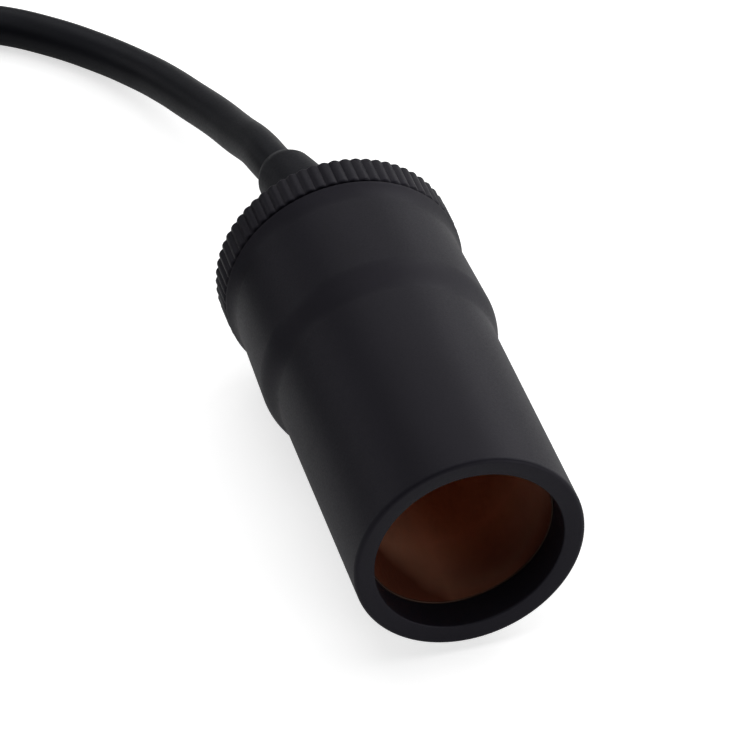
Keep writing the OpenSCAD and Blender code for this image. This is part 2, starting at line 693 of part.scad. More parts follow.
// Centre line of a side contact, as radius and length: a bow and a straight foot
function side_line(i) = let (t = i / side_steps)
    [side_rest_r + side_bow * pow(sin(180 * t), 1.5), side_front_z + side_len * t];

// Bowed spring strip on the +X side of the barrel
module side_contact() {
    half = [side_t / 2, 0];
    outer = [for (i = [0:side_steps]) side_line(i) + half];
    inner = [for (i = [side_steps:-1:0]) side_line(i) - half];
    foot = [[side_rest_r + side_t / 2, side_back_z], [side_rest_r - side_t / 2, side_back_z]];
    tail(concat(outer, foot, inner), side_w);
}

module side_contact_left() {
    color([0.75, 0.76, 0.78]) on_plug() mirror([1, 0, 0]) side_contact();
}

module side_contact_right() {
    color([0.75, 0.76, 0.78]) on_plug() side_contact();
}

// Plate behind the side contacts, which joins them to the earth core
module contact_bridge() {
    hole_r = channel_r + channel_wall + slip_gap;
    color([0.75, 0.76, 0.78]) on_plug() translate([0, 0, bridge_z]) linear_extrude(bridge_t) difference() {
        union() {
            square([2 * (side_room_r - slip_gap), side_w], center = true);
            circle(hole_r + bridge_ring, $fn = medium);
        }
        circle(hole_r, $fn = medium);
    }
}

// A core inside the plug as a line with straight ends, from the point first and along the points lead
function core_line(first, lead, side) = concat([first],
    curve(concat(lead, [for (p = core_way) [side * p[0], 0, p[2]]]), 2),
    [[side * core_side, 0, plug_sheath_z]]);

// Cores inside the plug's handle, one on each side of the screw's boss
module plug_live_core() {
    start = rear_contact_z + slip_gap / 2 + rear_contact_t;
    lead = [[0, 0, start + 0.4], [0, 0, bulkhead_end_z], [1.1, 0, bulkhead_end_z + 1.2],
        [core_beside * 0.75, 0, bulkhead_end_z + 2.5]];
    color([0.6, 0.08, 0.06]) on_plug() rod(core_line([0, 0, start], lead, 1), core_r, 8, [0, 1, 0]);
}

module plug_earth_core() {
    x = earth_hole_x;
    start = bridge_z + bridge_t;
    lead = [[x, 0, start + core_r], [x, 0, start + 4 * core_r], [x, 0, bulkhead_end_z - 3 * core_r],
        [x, 0, bulkhead_end_z],
        [(x - core_beside) / 2, 0, bulkhead_end_z + 2.4]];
    color([0.08, 0.08, 0.08]) on_plug() rod(core_line([x, 0, start], lead, -1), core_r, 8, [0, 1, 0]);
}

// Strain relief of the plug: straight, with its flange trapped between the two halves
module plug_relief() {
    end = handle_end_z + plug_relief_len;
    start = handle_floor_z - relief_flange_t;
    profile = [[relief_bore_r, start], [relief_flange_r, start], [relief_flange_r, handle_floor_z],
        [relief_neck_r, handle_floor_z], [relief_neck_r, handle_end_z], [relief_base_d / 2, handle_end_z],
        [relief_base_d / 2, handle_end_z + 0.8],
        [relief_tip_d / 2, end - 0.4], [relief_tip_d / 2 - 0.3, end], [relief_bore_r, end]];
    color([0.1, 0.1, 0.1]) on_plug() rotate_extrude($fn = medium) polygon(profile);
}

housing();
end_cap();
contact_shell();
earth_tag();
insulator();
centre_contact();
centre_rivet();
live_tag();
live_core();
earth_core();
strain_relief();
cable();
cable_coil();
cable_tie();
cable_tail();
plug_half_upper();
plug_half_lower();
plug_screw();
nose_ring();
centre_pin();
fuse_glass();
fuse_cap_front();
fuse_cap_rear();
pin_spring();
rear_contact();
side_contact_left();
side_contact_right();
contact_bridge();
plug_live_core();
plug_earth_core();
plug_relief();
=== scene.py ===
"""In-line 12 V car power socket: a black moulded tube with a copper sleeve, on a coiled lead with a plug."""

import math

import bmesh
import bpy
from mathutils import Matrix, Vector

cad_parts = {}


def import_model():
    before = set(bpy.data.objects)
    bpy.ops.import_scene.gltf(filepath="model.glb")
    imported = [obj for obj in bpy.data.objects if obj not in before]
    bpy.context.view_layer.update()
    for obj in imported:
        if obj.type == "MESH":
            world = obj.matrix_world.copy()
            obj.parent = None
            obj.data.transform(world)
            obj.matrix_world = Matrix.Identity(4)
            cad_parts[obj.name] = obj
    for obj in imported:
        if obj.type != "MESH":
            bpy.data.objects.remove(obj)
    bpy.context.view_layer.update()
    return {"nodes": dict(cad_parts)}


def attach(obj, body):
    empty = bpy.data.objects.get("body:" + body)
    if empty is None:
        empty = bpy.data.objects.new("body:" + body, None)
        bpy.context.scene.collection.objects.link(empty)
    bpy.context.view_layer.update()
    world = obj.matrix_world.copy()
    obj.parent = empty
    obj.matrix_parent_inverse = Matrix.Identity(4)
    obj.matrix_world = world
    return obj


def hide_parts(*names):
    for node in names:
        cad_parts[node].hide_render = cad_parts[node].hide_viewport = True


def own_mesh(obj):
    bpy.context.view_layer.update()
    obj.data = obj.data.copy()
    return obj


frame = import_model()

MM = 0.001
ROOT = "socket_and_lead"

# Sizes in millimetres, the same as the CAD model's
SOCKET_LEN = 58.0
AXIS_H = 14.5
CABLE_D = 5.2

# The housing's radii: its barrel, behind the taper, at the waist, and where the flare meets the groove
BARREL_R = 13.05
SWELL_R = 14.1
WAIST_R = 13.75
FLARE_R = 14.4
# Its inside: the lip at the mouth, the pocket of the contact sleeve, and the cavity
LIP_R = 10.7
POCKET_R = 10.95
CAVITY_R = 12.2

# Lengths from the mouth
LIP_LEN = 4.1
TAPER_Z = 30.5
TAPER_LEN = 4.5
SHOULDER_Z = 40.0
SPIGOT_Z = 45.9
FLARE_Z = 46.65
FLARE_LEN = 2.4
HOUSING_END_Z = 49.2
RING_Z = 49.6
RING_END_Z = 53.8
HUB_Z = 56.6

# The contact sleeve, which has a flange at its back
SLEEVE_BORE_R = 10.5
SLEEVE_R = 10.9
FLANGE_R = 12.05
FLANGE_T = 0.4

# The end cap: its spigot, groove, knurled ring and hub
SPIGOT_R = 12.15
SPIGOT_BORE_R = 10.2
GROOVE_R = 13.8
RING_R = 14.5
HUB_R = 6.5
HUB_BORE_R = 4.2
CAP_FLOOR_Z = 54.2
RIBS = 68
RIB_DEPTH = 0.24
STEPS_PER_RIB = 12

# The strain relief: its flange inside the cap, its neck through the hub, and its taper along the lead
RELIEF_FLANGE_R = 6.0
RELIEF_NECK_R = 4.1
RELIEF_ROOT_R = 5.2
RELIEF_TIP_R = 3.5
RELIEF_LEN = 15.17
RELIEF_BORE_R = 2.68
# Its last stretch, and how much more its radius drops there for each millimetre
RELIEF_TIP_LEN = 1.4
RELIEF_TIP_DROP = 0.36

# The lead's route: out of the cap, down to the ground, round to the coil, and down into the plug
ROUTE = [
    (0, 23, 14.5), (0, 29, 14.5), (0, 34, 14.5), (-0.4, 38.5, 14.3), (-1, 43, 13.8), (-1.6, 46.5, 13.2),
    (-2.1, 52.5, 11.7), (-2.9, 58, 9.9), (-4, 65, 7.9), (-5.7, 72, 6.1), (-7.3, 77.5, 4.9), (-9.3, 82.6, 3.9),
    (-14, 90.4, 2.9), (-19.2, 96, 2.7), (-24.6, 100.1, 2.7), (-31.2, 103.2, 2.7), (-38.5, 104.9, 2.8),
    (-46, 105.4, 2.9), (-54, 105.5, 3.1), (-64.3, 105.5, 3.35),
]
TAIL = [
    (-94.2, 75.6, 13.75), (-94.2, 71.5, 13.75), (-94.2, 68, 13.7), (-94.2, 65, 13.4), (-94.2, 62, 12.9),
    (-94.2, 59, 12.35), (-94.2, 56, 12.03), (-94.2, 52, 12), (-94.2, 44, 12), (-94.2, 36, 12),
]
COIL_CENTRE = (-64.3, 75.6)
COIL_MID_R = 27.3
COIL_TURNS = 4.25
COIL_STEPS = 16
# Each turn lies in one of five places: its radius and its height
COIL_PLACES = [(29.9, 3.35), (24.7, 3.35), (24.7, 8.55), (29.9, 8.55), (29.9, 13.75)]
# Where the lead moves from one place to the next, in turns
COIL_MOVES = [(0.72, 1.0), (1.59, 1.79), (2.41, 2.64), (3.34, 3.53)]
STRAP_ANGLE = -45.0
# The plug's axis
PLUG_X = -94.2
PLUG_H = 12.0


# Shapes

def ease(t):
    """A smooth step from 0 to 1."""
    return 0.5 - 0.5 * math.cos(math.pi * min(max(t, 0.0), 1.0))


def finish_mesh(name, bm, material, sharp=35.0):
    """Makes an object of a bmesh, smooth but for edges that turn by more than sharp degrees."""
    bmesh.ops.remove_doubles(bm, verts=bm.verts, dist=1e-7)
    bmesh.ops.recalc_face_normals(bm, faces=bm.faces)
    for face in bm.faces:
        face.smooth = True
    for edge in bm.edges:
        edge.smooth = len(edge.link_faces) == 2 and edge.calc_face_angle(0) < math.radians(sharp)
    mesh = bpy.data.meshes.new(name)
    bm.to_mesh(mesh)
    bm.free()
    mesh.materials.append(material)
    obj = bpy.data.objects.new(name, mesh)
    bpy.context.scene.collection.objects.link(obj)
    return obj


def skin(bm, rings, closed):
    """Joins rings of vertices with quads, and the last ring to the first if closed."""
    count = len(rings)
    for i in range(count if closed else count - 1):
        a, b = rings[i], rings[(i + 1) % count]
        n = len(a)
        for k in range(n):
            bm.faces.new((a[k], a[(k + 1) % n], b[(k + 1) % n], b[k]))


def rounded(outline, steps=5):
    """Rounds the corners of an outline of (u, v, fillet radius) points, and gives (u, v) points."""
    result = []
    n = len(outline)
    for i, (u, v, fillet) in enumerate(outline):
        here = Vector((u, v))
        before = Vector(outline[i - 1][:2]) - here
        after = Vector(outline[(i + 1) % n][:2]) - here
        if fillet <= 0:
            result.append(here)
            continue
        angle = before.angle(after)
        reach = min(fillet / math.tan(angle / 2), before.length * 0.49, after.length * 0.49)
        radius = reach * math.tan(angle / 2)
        start, end = here + before.normalized() * reach, here + after.normalized() * reach
        middle = (before.normalized() + after.normalized()).normalized()
        centre = here + middle * (radius / math.sin(angle / 2))
        first, last = start - centre, end - centre
        turn = first.angle_signed(last)
        for k in range(steps + 1):
            result.append(centre + Matrix.Rotation(-turn * k / steps, 2) @ first)
    return result


def profile(first_r, last_r, start_z, length, steps, shape):
    """Points along a turned wall that goes from one radius to another, with shape from 0 to 1."""
    return [(first_r + (last_r - first_r) * shape(i / steps), start_z + length * i / steps)
            for i in range(steps + 1)]


def lathe(name, outline, place, material, sides=192, wave=None, sharp=35.0):
    """Turns a closed outline of (radius, length) points.

    wave gives a change of radius for an angle and a point of the outline.
    """
    bm = bmesh.new()
    rings = []
    for r, z in outline:
        ring = []
        for k in range(sides):
            a = 2 * math.pi * k / sides
            radius = r + (wave(a, r, z) if wave else 0.0)
            ring.append(bm.verts.new(place(radius * math.cos(a), radius * math.sin(a), z)))
        rings.append(ring)
    skin(bm, rings, True)
    return finish_mesh(name, bm, material, sharp)


def on_socket(x, y, z):
    """A point that is drawn along +Z from the mouth, on the socket's level axis."""
    return Vector((x, z - SOCKET_LEN / 2, AXIS_H + y)) * MM


def sleeve(name, points, radii, bore, material, sides=64, sharp=35.0):
    """A hollow sleeve along a line of points in millimetres, with an outside radius for each point."""
    bm = bmesh.new()
    side = Vector((1, 0, 0))
    outer, inner = [], []
    for i, p in enumerate(points):
        ahead = points[min(i + 1, len(points) - 1)] - points[max(i - 1, 0)]
        across = (side - ahead.normalized() * side.dot(ahead.normalized())).normalized()
        up = ahead.normalized().cross(across)
        for rings, r in ((outer, radii[i]), (inner, bore)):
            rings.append([bm.verts.new((p + (across * math.cos(a) + up * math.sin(a)) * r) * MM)
                          for a in (2 * math.pi * k / sides for k in range(sides))])
    skin(bm, outer + inner[::-1], True)
    return finish_mesh(name, bm, material, sharp)


def smooth_line(points, steps):
    """A smooth curve through the points, with steps from each to the next."""
    pts = [Vector(p) for p in points]
    result = []
    for i in range(len(pts) - 1):
        p0, p1, p2, p3 = pts[max(i - 1, 0)], pts[i], pts[i + 1], pts[min(i + 2, len(pts) - 1)]
        for j in range(steps):
            t = j / steps
            result.append(0.5 * (2 * p1 + (p2 - p0) * t + (2 * p0 - 5 * p1 + 4 * p2 - p3) * t * t
                                 + (3 * p1 - p0 - 3 * p2 + p3) * t ** 3))
    result.append(pts[-1])
    return result


def coil_line():
    """The lead's centre line round the coil, from its first point to its last."""
    result = []
    for i in range(1, round(COIL_TURNS * COIL_STEPS)):
        t = i / COIL_STEPS
        r, z = COIL_PLACES[0]
        for (start, end), (r0, z0), (r1, z1) in zip(COIL_MOVES, COIL_PLACES, COIL_PLACES[1:]):
            share = ease((t - start) / (end - start))
            r, z = r + (r1 - r0) * share, z + (z1 - z0) * share
        a = math.pi / 2 + 2 * math.pi * t
        result.append((COIL_CENTRE[0] + r * math.cos(a), COIL_CENTRE[1] + r * math.sin(a), z))
    return result


# Materials

class Finish:
    """A material's node tree, with short ways to add and join nodes."""

    def __init__(self, name, base, roughness, metallic=0.0, **sockets):
        self.material = bpy.data.materials.new(name)
        self.material.use_nodes = True
        self.tree = self.material.node_tree
        self.shader = self.tree.nodes["Principled BSDF"]
        self.set("Base Color", (*base, 1.0))
        self.set("Roughness", roughness)
        self.set("Metallic", metallic)
        for key, value in sockets.items():
            self.set(key.replace("_", " "), value)
        self.coords = self.tree.nodes.new("ShaderNodeTexCoord").outputs["Object"]
        self.height = None

    def set(self, socket, value):
        self.shader.inputs[socket].default_value = value

    def add(self, kind, inputs=(), **settings):
        """Adds a node. inputs are (socket, value or output) pairs."""
        new = self.tree.nodes.new(kind)
        for key, value in settings.items():
            setattr(new, key, value)
        for socket, value in inputs:
            if isinstance(value, bpy.types.NodeSocket):
                self.tree.links.new(value, new.inputs[socket])
            else:
                new.inputs[socket].default_value = value
        return new

    def noise(self, size_mm, detail=2.0, roughness=0.5, stretch=(1, 1, 1)):
        """Noise with features of about size_mm, stretched along X, Y and Z."""
        scale = self.add("ShaderNodeVectorMath", [(0, self.coords), (1, [1 / s for s in stretch])],
                         operation="MULTIPLY")
        return self.add("ShaderNodeTexNoise", [("Vector", scale.outputs[0]), ("Scale", 1 / (size_mm * MM)),
                                               ("Detail", detail), ("Roughness", roughness)]).outputs[0]

    def ranged(self, value, low, high, to_low, to_high):
        """Maps a value from one range to another, clamped."""
        inputs = [(0, value), (1, low), (2, high), (3, to_low), (4, to_high)]
        return self.add("ShaderNodeMapRange", inputs).outputs[0]

    def mix(self, share, first, second):
        """Mixes two colours, or outputs that give one, by share."""
        inputs = [(0, share), (6, first), (7, second)]
        return self.add("ShaderNodeMix", inputs, data_type="RGBA").outputs[2]

    def total(self, first, *others):
        """Adds values up."""
        for other in others:
            first = self.add("ShaderNodeMath", [(0, first), (1, other)], operation="ADD").outputs[0]
        return first

    def colours(self, value, stops):
        """A colour ramp over the value, with (position, colour) stops."""
        ramp = self.add("ShaderNodeValToRGB", [(0, value)])
        elements = ramp.color_ramp.elements
        while len(elements) < len(stops):
            elements.new(0.5)
        for element, (position, colour) in zip(elements, stops):
            element.position, element.color = position, (*colour, 1.0)
        return ramp.outputs[0]

    def join(self, socket, value):
        """Links an output to one of the shader's own inputs."""
        self.tree.links.new(value, self.shader.inputs[socket])

    def bump(self, value, depth_mm, strength=1.0):
        """Adds relief of about depth_mm to whatever relief is there."""
        inputs = [("Height", value), ("Distance", depth_mm * MM), ("Strength", strength)]
        if self.height is not None:
            inputs.append(("Normal", self.height))
        self.height = self.add("ShaderNodeBump", inputs).outputs[0]
        self.join("Normal", self.height)


def moulded_black(name, base, rough, grain_mm=0.22, grain_depth=0.012):
    """Matt black moulding: an even spark-eroded grain, faint flow marks and a trace of dust."""
    f = Finish(name, base, rough, Specular_IOR_Level=0.18, Specular_Tint=(0.92, 0.87, 1.0, 1.0))
    grain = f.noise(grain_mm, 3.0, 0.6)
    flow = f.noise(9.0, 2.0, 0.5, (1, 2.5, 1))
    dust = f.noise(0.5, 2.0, 0.7)
    tone = f.colours(f.ranged(flow, 0.3, 0.7, 0.0, 1.0),
                     [(0.0, [c * 0.88 for c in base]), (1.0, [c * 1.14 for c in base])])
    speck = f.ranged(dust, 0.72, 0.8, 0.0, 0.5)
    f.join("Base Color", f.mix(speck, tone, (*[c * 2.2 for c in base], 1.0)))
    f.join("Roughness", f.ranged(grain, 0.3, 0.7, rough - 0.05, rough + 0.08))
    f.bump(flow, 0.05, 0.25)
    f.bump(grain, grain_depth, 0.6)
    return f.material


def soft_black(name, base, rough):
    """Soft black moulding of the sheath and strain reliefs: smooth, with slow waves along it."""
    f = Finish(name, base, rough, Specular_IOR_Level=0.15, Specular_Tint=(0.9, 0.92, 1.0, 1.0))
    wave = f.noise(6.0, 1.0)
    fine = f.noise(0.3, 3.0, 0.6)
    f.join("Base Color", f.colours(wave, [(0.3, [c * 0.9 for c in base]), (0.7, [c * 1.12 for c in base])]))
    f.join("Roughness", f.ranged(fine, 0.3, 0.7, rough - 0.05, rough + 0.07))
    f.bump(wave, 0.06, 0.3)
    f.bump(fine, 0.008, 0.5)
    return f.material


def sheet_metal(name, base, dark, rough, streak=(1, 6, 1), stain=4.0):
    """Drawn or pressed sheet: fine streaks and patchy tarnishing from base to dark."""
    f = Finish(name, base, rough, 1.0)
    lines = f.noise(0.15, 3.0, 0.6, streak)
    patch = f.noise(stain, 3.0, 0.55)
    f.join("Base Color", f.colours(f.ranged(patch, 0.35, 0.68, 0.0, 1.0), [(0.0, base), (1.0, dark)]))
    f.join("Roughness", f.ranged(lines, 0.3, 0.7, rough - 0.07, rough + 0.1))
    f.bump(lines, 0.006, 0.5)
    return f.material


def coppered_steel(name, bright, painted_shade_colour, rough):
    """Coppered sleeve: satin, with painted shade: lightest deep down, low and to the right, darker near the
    mouth, up high and to the left, and its cut front edge painted near black; a faint cloud adds random
    mottle.
    """
    f = Finish(name, bright, rough, 0.5, Specular_IOR_Level=0.1)
    place = f.add("ShaderNodeSeparateXYZ", [(0, f.coords)]).outputs
    lines = f.noise(0.15, 3.0, 0.6, (1, 8, 1))
    cloud = f.noise(7.0, 2.0, 0.5)
    # Painted shade: the sleeve is darkened near the mouth, up high and to the left; only the cloud below is
    # random mottle
    near_mouth = f.ranged(place[1], -24.8 * MM, -15 * MM, 0.84, 0.0)
    high = f.ranged(place[2], 6 * MM, 9.5 * MM, 0.0, 0.2)
    to_the_left = f.ranged(place[0], -9 * MM, -0.5 * MM, 1.0, 0.0)
    uneven = f.ranged(cloud, 0.3, 0.7, -0.06, 0.06)
    painted_shade_and_mottle = f.total(near_mouth, high, to_the_left, uneven)
    tone = f.colours(painted_shade_and_mottle, [(0.0, bright), (1.0, painted_shade_colour)])
    # Painted shade: the cut front edge is drawn near black, which hides its highlight
    edge = f.ranged(place[1], -24.83 * MM, -24.6 * MM, 1.0, 0.0)
    f.join("Base Color", f.mix(edge, tone, (0.035, 0.02, 0.015, 1.0)))
    f.join("Roughness", f.ranged(lines, 0.3, 0.7, rough - 0.07, rough + 0.1))
    f.bump(lines, 0.006, 0.5)
    return f.material


def phenolic(name):
    """Brown phenolic board or moulding, with short fibres showing."""
    f = Finish(name, (0.16, 0.075, 0.04), 0.45)
    fibre = f.noise(0.4, 4.0, 0.6, (1, 1, 3))
    f.join("Base Color", f.colours(fibre, [(0.35, (0.09, 0.04, 0.02)), (0.55, (0.16, 0.075, 0.04)),
                                           (0.7, (0.24, 0.12, 0.06))]))
    f.bump(fibre, 0.015, 0.4)
    return f.material


def woven_strap(name):
    """Narrow black strap of hook and loop cloth: fine ribs across a fuzzy base."""
    f = Finish(name, (0.016, 0.016, 0.019), 0.8, Sheen_Weight=0.2)
    ribs = f.add("ShaderNodeTexWave", [("Vector", f.coords), ("Scale", 1400.0), ("Distortion", 1.5),
                                       ("Detail", 2.0)], bands_direction="Z").outputs[1]
    fuzz = f.noise(0.12, 4.0, 0.7)
    f.join("Base Color", f.colours(fuzz, [(0.3, (0.008, 0.008, 0.01)), (0.7, (0.026, 0.026, 0.03))]))
    f.bump(ribs, 0.05, 0.4)
    f.bump(fuzz, 0.05, 0.6)
    return f.material


def clear_glass(name):
    """Clear glass of the fuse's tube, with a slight waviness."""
    f = Finish(name, (0.95, 0.98, 0.97), 0.03, Transmission_Weight=1.0, IOR=1.5)
    f.bump(f.noise(3.0), 0.02, 0.2)
    return f.material


housing_black = moulded_black("housing_black", (0.0065, 0.0061, 0.0094), 0.48)
plug_black = moulded_black("plug_black", (0.0075, 0.0073, 0.0088), 0.46, 0.3, 0.014)
sheath_black = soft_black("sheath_black", (0.0056, 0.0058, 0.0080), 0.44)
relief_black = soft_black("relief_black", (0.0062, 0.0062, 0.0086), 0.5)
# The second colour is the darkest copper of the sleeve's painted shade
copper = coppered_steel("sleeve_copper", (0.97, 0.5, 0.31), (0.15, 0.045, 0.025), 0.45)
brass = sheet_metal("brass", (0.78, 0.56, 0.25), (0.55, 0.36, 0.15), 0.3)
tinned = sheet_metal("tinned_brass", (0.62, 0.58, 0.5), (0.42, 0.38, 0.3), 0.38)
steel = sheet_metal("bright_steel", (0.6, 0.6, 0.61), (0.42, 0.42, 0.43), 0.28)
nickel = sheet_metal("nickel_plate", (0.72, 0.7, 0.66), (0.55, 0.53, 0.5), 0.18, (1, 1, 1), 8.0)
board = phenolic("brown_phenolic")
red_core = soft_black("red_insulation", (0.42, 0.02, 0.015), 0.4)
black_core = soft_black("black_insulation", (0.02, 0.02, 0.02), 0.4)
strap_cloth = woven_strap("strap_cloth")
fuse_glass = clear_glass("fuse_glass")

# CAD nodes that stay as they are, in the socket and in the plug, which lies on the lead's end
SOCKET_FINISH = {
    "earth_tag": tinned, "live_tag": tinned, "insulator": board, "centre_contact": brass,
    "centre_rivet": brass, "live_core": red_core, "earth_core": black_core,
}
PLUG_FINISH = {
    "plug_half_upper": plug_black, "plug_half_lower": plug_black, "plug_screw": steel,
    "nose_ring": nickel, "centre_pin": nickel, "fuse_glass": fuse_glass, "fuse_cap_front": nickel,
    "fuse_cap_rear": nickel, "rear_contact": brass, "side_contact_left": steel,
    "side_contact_right": steel, "contact_bridge": steel, "plug_live_core": red_core,
    "plug_earth_core": black_core, "plug_relief": relief_black,
}
for node, finish in (SOCKET_FINISH | PLUG_FINISH).items():
    obj = frame["nodes"][node]
    obj.data.materials.clear()
    obj.data.materials.append(finish)


# Camera at the photograph's angle: to the left of the mouth and above it

CAMERA_PLACE = (-96.04, -318.98, 293.80)
CAMERA_BACK = Vector((-0.21676, -0.73725, 0.63990))
CAMERA_RIGHT = Vector((0.95939, -0.28207, 0.0))
CAMERA_LENS = 184.3
SENSOR_WIDTH = 36.0


def camera():
    """Long lens, as the photograph's lines are nearly parallel."""
    data = bpy.data.cameras.new("camera")
    data.sensor_width = SENSOR_WIDTH
    data.lens = CAMERA_LENS
    data.clip_start = 0.01
    cam = bpy.data.objects.new("camera", data)
    cam.location = Vector(CAMERA_PLACE) * MM
    up = CAMERA_BACK.cross(CAMERA_RIGHT)
    cam.rotation_euler = Matrix((CAMERA_RIGHT, up, CAMERA_BACK)).transposed().to_euler()
    bpy.context.scene.collection.objects.link(cam)
    bpy.context.scene.camera = cam


camera()


# The lead: one curve from inside the cap, round the coil, to inside the plug

def lead():
    """The whole lead as one round curve, which replaces its three solids."""
    data = bpy.data.curves.new("lead", "CURVE")
    data.dimensions = "3D"
    data.bevel_depth = CABLE_D / 2 * MM
    data.bevel_resolution = 10
    data.resolution_u = 8
    data.use_fill_caps = True
    points = ROUTE + coil_line() + TAIL
    spline = data.splines.new("BEZIER")
    spline.bezier_points.add(len(points) - 1)
    for bez, p in zip(spline.bezier_points, points):
        bez.co = Vector(p) * MM
        bez.handle_left_type = bez.handle_right_type = "AUTO"
    data.materials.append(sheath_black)
    obj = bpy.data.objects.new("lead", data)
    bpy.context.scene.collection.objects.link(obj)
    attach(obj, ROOT)
    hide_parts("cable", "cable_coil", "cable_tail")
    return obj


def coil_strap():
    """Strap round the coil's turns: a band that follows the outermost ones."""
    gauge = 0.6
    half_width = 2.5
    bend = 2.75
    half_reach = 5.35
    top = 16.5
    # Fewer turns lie on each other inside than outside, so the strap slopes down to them
    slope_start = 1.46
    inner_top = 9.69
    loop = rounded([(-half_reach, gauge, bend), (half_reach, gauge, bend), (half_reach, top, bend),
                    (slope_start, top, bend), (-half_reach, inner_top, bend)], 6)
    band = rounded([(0, -half_width, 0.2), (gauge, -half_width, 0.2), (gauge, half_width, 0.2),
                    (0, half_width, 0.2)], 3)
    turn = Matrix.Rotation(math.radians(STRAP_ANGLE), 3, "Z")
    bm = bmesh.new()
    rings = []
    for i, p in enumerate(loop):
        along = (loop[(i + 1) % len(loop)] - loop[i - 1]).normalized()
        out = Vector((along.y, -along.x))
        ring = []
        for depth, side in band:
            q = p + out * depth
            local = turn @ Vector((COIL_MID_R + q.x, side, q.y))
            ring.append(bm.verts.new((local + Vector((*COIL_CENTRE, 0))) * MM))
        rings.append(ring)
    skin(bm, rings, True)
    obj = finish_mesh("coil_strap", bm, strap_cloth)
    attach(obj, ROOT)
    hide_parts("cable_tie")
    return obj


# The socket

def socket_housing():
    """Moulded housing, from the mouth's rounded rim to the flare that meets the cap."""
    # The first point only gives the rim its direction
    rim = rounded([(BARREL_R, 12.0, 0), (BARREL_R, 0.0, 0.5), (LIP_R, 0.33, 0.22), (LIP_R, LIP_LEN, 0)], 8)
    front = list(reversed(rim[1:]))
    taper = profile(BARREL_R, SWELL_R, TAPER_Z, TAPER_LEN, 14, ease)
    flare = profile(WAIST_R, FLARE_R, FLARE_Z, FLARE_LEN, 12, lambda t: t * t)
    end = [(FLARE_R + 0.01, HOUSING_END_Z - 0.05), (FLARE_R - 0.03, HOUSING_END_Z)]
    inside = [(CAVITY_R, HOUSING_END_Z), (CAVITY_R, SHOULDER_Z), (POCKET_R, SHOULDER_Z), (POCKET_R, LIP_LEN)]
    obj = lathe("socket_housing", front + taper + flare + end + inside, on_socket, housing_black)
    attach(obj, ROOT)
    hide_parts("housing")
    return obj


def knurl(a, r, z):
    """How much lower than the ribs' crests the cap is at angle a: rounded ribs with narrow valleys."""
    if r < GROOVE_R - 0.2 or not RING_Z - 0.05 < z < RING_END_Z + 0.05:
        return 0.0
    return -RIB_DEPTH * (1 - abs(math.cos(RIBS / 2 * a)))


def knurled_cap():
    """End cap: groove, knurled ring, domed back and hub."""
    spigot = [(SPIGOT_R, SPIGOT_Z, 0.2), (SPIGOT_R, HOUSING_END_Z, 0.05)]
    groove = [(GROOVE_R, HOUSING_END_Z, 0.05), (GROOVE_R, RING_Z, 0.05)]
    ring = [(RING_R, RING_Z, 0.4), (RING_R, RING_END_Z, 0.4)]
    dome = [(RING_R - 0.55, RING_END_Z, 0.1), (RING_R - 1.15, RING_END_Z + 0.3, 0.3),
            (HUB_R + 0.8, HUB_Z - 0.3, 0.3), (HUB_R, HUB_Z, 0.2)]
    hub = [(HUB_R, SOCKET_LEN, 0.4), (HUB_BORE_R, SOCKET_LEN, 0.1), (HUB_BORE_R, CAP_FLOOR_Z, 0)]
    inside = [(SPIGOT_BORE_R - 2, CAP_FLOOR_Z, 0), (SPIGOT_BORE_R, CAP_FLOOR_Z - 2, 0),
              (SPIGOT_BORE_R, SPIGOT_Z, 0.2)]
    outline = rounded(spigot + groove + ring + dome + hub + inside, 4)
    obj = lathe("knurled_cap", outline, on_socket, housing_black, RIBS * STEPS_PER_RIB, knurl, 40)
    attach(obj, ROOT)
    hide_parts("end_cap")
    return obj


def contact_sleeve():
    """Drawn copper sleeve with a rolled front edge and a flange at its back."""
    front = LIP_LEN + 0.05
    back = SHOULDER_Z + FLANGE_T
    outline = rounded([(SLEEVE_BORE_R, front, 0.15), (SLEEVE_R, front, 0.15), (SLEEVE_R, SHOULDER_Z, 0.1),
                       (FLANGE_R, SHOULDER_Z, 0.1), (FLANGE_R, back, 0.1), (SLEEVE_BORE_R, back, 0.3)], 4)
    obj = lathe("contact_sleeve", outline, on_socket, copper)
    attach(obj, ROOT)
    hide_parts("contact_shell")
    return obj


def relief_sleeve():
    """Strain relief: trapped in the hub, tapered, bent with the lead, and drawn in more at its end."""
    flange_back = SOCKET_LEN - CAP_FLOOR_Z
    points = []
    radii = []
    for p in smooth_line(ROUTE[:7], 12):
        along = p.y - SOCKET_LEN / 2
        if along < -flange_back - 0.7 or along > RELIEF_LEN:
            continue
        points.append(p)
        if along < -flange_back:
            radii.append(RELIEF_FLANGE_R)
        elif along < -0.05:
            radii.append(RELIEF_NECK_R)
        else:
            past = max(0.0, along - RELIEF_LEN + RELIEF_TIP_LEN)
            taper = (RELIEF_ROOT_R - RELIEF_TIP_R) * along / RELIEF_LEN
            radii.append(RELIEF_ROOT_R - taper - RELIEF_TIP_DROP * past)
    obj = sleeve("relief_sleeve", points, radii, RELIEF_BORE_R, relief_black)
    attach(obj, ROOT)
    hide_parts("strain_relief")
    return obj


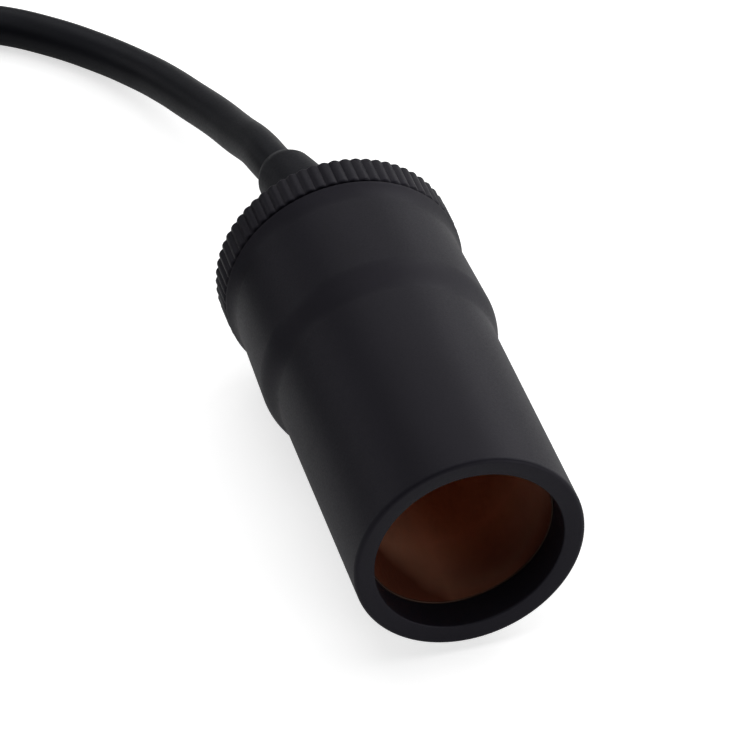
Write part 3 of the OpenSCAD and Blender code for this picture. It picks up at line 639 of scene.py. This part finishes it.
def fuse_spring():
    """Spring behind the plug's fuse: six turns of round wire."""
    turns = 6
    mean_r = 2.6
    wire_r = 0.35
    front = 10.42
    back = 17.68
    steps = 24
    sides = 12
    bm = bmesh.new()
    rings = []
    for i in range(steps * turns + 1):
        a = 2 * math.pi * i / steps
        out = Vector((math.cos(a), 0, math.sin(a)))
        p = Vector((PLUG_X, front + (back - front) * i / (steps * turns), PLUG_H)) + out * mean_r
        rings.append([bm.verts.new((p + (out * math.cos(b) + Vector((0, math.sin(b), 0))) * wire_r) * MM)
                      for b in (2 * math.pi * k / sides for k in range(sides))])
    skin(bm, rings, False)
    bm.faces.new(rings[0])
    bm.faces.new(rings[-1])
    obj = finish_mesh("fuse_spring", bm, steel)
    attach(obj, ROOT)
    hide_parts("pin_spring")
    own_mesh(obj)
    return obj


socket_housing()
knurled_cap()
contact_sleeve()
relief = relief_sleeve()
strap = coil_strap()
spring = fuse_spring()
lead()


# Floor, world and lamps

# In metres, and how bright the floor and the surroundings are in their own right
FLOOR_WIDTH = 6.0
FLOOR_SHOWN = 0.66
FLOOR_REFLECTED = 0.1
AMBIENT = 0.03
# Place in millimetres, width in millimetres, watts
LAMPS = {
    "right_low": ((600, 100, 150), 300, 0.8),
    "right_high": ((450, 150, 500), 400, 1.3),
    "right_back": ((600, 500, 300), 400, 0.85),
    "left": ((-600, 0, 150), 300, 0.3),
    "left_high": ((-450, -50, 550), 400, 0.4),
    "left_back": ((-600, 500, 300), 400, 0.6),
    "top": ((0, 0, 750), 600, 1.75),
    "back": ((0, 600, 500), 500, 0.85),
    "back_right": ((350, 600, 400), 400, 0.3),
    "front": ((350, -500, 100), 300, 1.25),
}


def seen_by(nodes, links, *rays):
    """A value that is 1 for any of the named kinds of ray, and otherwise 0."""
    path = nodes.new("ShaderNodeLightPath")
    value = path.outputs[rays[0]]
    for ray in rays[1:]:
        either = nodes.new("ShaderNodeMath")
        either.operation = "MAXIMUM"
        links.new(value, either.inputs[0])
        links.new(path.outputs[ray], either.inputs[1])
        value = either.outputs[0]
    return value


def floor():
    """Pale floor that shows as white to the camera and keeps the object's shadow."""
    mesh = bpy.data.meshes.new("floor")
    half = FLOOR_WIDTH / 2
    corners = [(-half, -half, 0), (half, -half, 0), (half, half, 0), (-half, half, 0)]
    mesh.from_pydata(corners, [], [(0, 1, 2, 3)])
    mat = bpy.data.materials.new("pale_floor")
    mat.use_nodes = True
    nodes, links = mat.node_tree.nodes, mat.node_tree.links
    nodes.clear()
    out = nodes.new("ShaderNodeOutputMaterial")
    both = nodes.new("ShaderNodeAddShader")
    links.new(both.outputs[0], out.inputs[0])
    diffuse = nodes.new("ShaderNodeBsdfDiffuse")
    diffuse.inputs[0].default_value = (0.8, 0.8, 0.8, 1)
    links.new(diffuse.outputs[0], both.inputs[0])
    glow = nodes.new("ShaderNodeAddShader")
    links.new(glow.outputs[0], both.inputs[1])
    glows = [(FLOOR_REFLECTED, ("Is Glossy Ray", "Is Transmission Ray")), (FLOOR_SHOWN, ("Is Camera Ray",))]
    for i, (strength, rays) in enumerate(glows):
        emission = nodes.new("ShaderNodeEmission")
        level = nodes.new("ShaderNodeMapRange")
        links.new(seen_by(nodes, links, *rays), level.inputs[0])
        level.inputs[4].default_value = strength
        links.new(level.outputs[0], emission.inputs[1])
        links.new(emission.outputs[0], glow.inputs[i])
    mesh.materials.append(mat)
    obj = bpy.data.objects.new("floor", mesh)
    bpy.context.scene.collection.objects.link(obj)


def world():
    """Dim grey surroundings, white where the camera sees them."""
    w = bpy.data.worlds.new("studio")
    bpy.context.scene.world = w
    w.use_nodes = True
    nodes, links = w.node_tree.nodes, w.node_tree.links
    level = nodes.new("ShaderNodeMapRange")
    links.new(seen_by(nodes, links, "Is Camera Ray"), level.inputs[0])
    level.inputs[3].default_value = AMBIENT
    level.inputs[4].default_value = 1.0
    links.new(level.outputs[0], nodes["Background"].inputs[1])
    nodes["Background"].inputs[0].default_value = (1, 1, 1, 1)


def lamp(name, place_mm, size_mm, watts):
    """Square lamp of an even glow, turned towards the socket."""
    data = bpy.data.lights.new(name, "AREA")
    data.shape = "SQUARE"
    data.size = size_mm * MM
    data.energy = watts
    obj = bpy.data.objects.new(name, data)
    obj.location = Vector(place_mm) * MM
    obj.rotation_euler = (Vector(place_mm) - Vector((0, 0, AXIS_H))).to_track_quat("Z", "Y").to_euler()
    bpy.context.scene.collection.objects.link(obj)


floor()
world()
for lamp_name, (place, size, watts) in LAMPS.items():
    lamp(lamp_name, place, size, watts)

bpy.context.scene.view_settings.view_transform = "Standard"
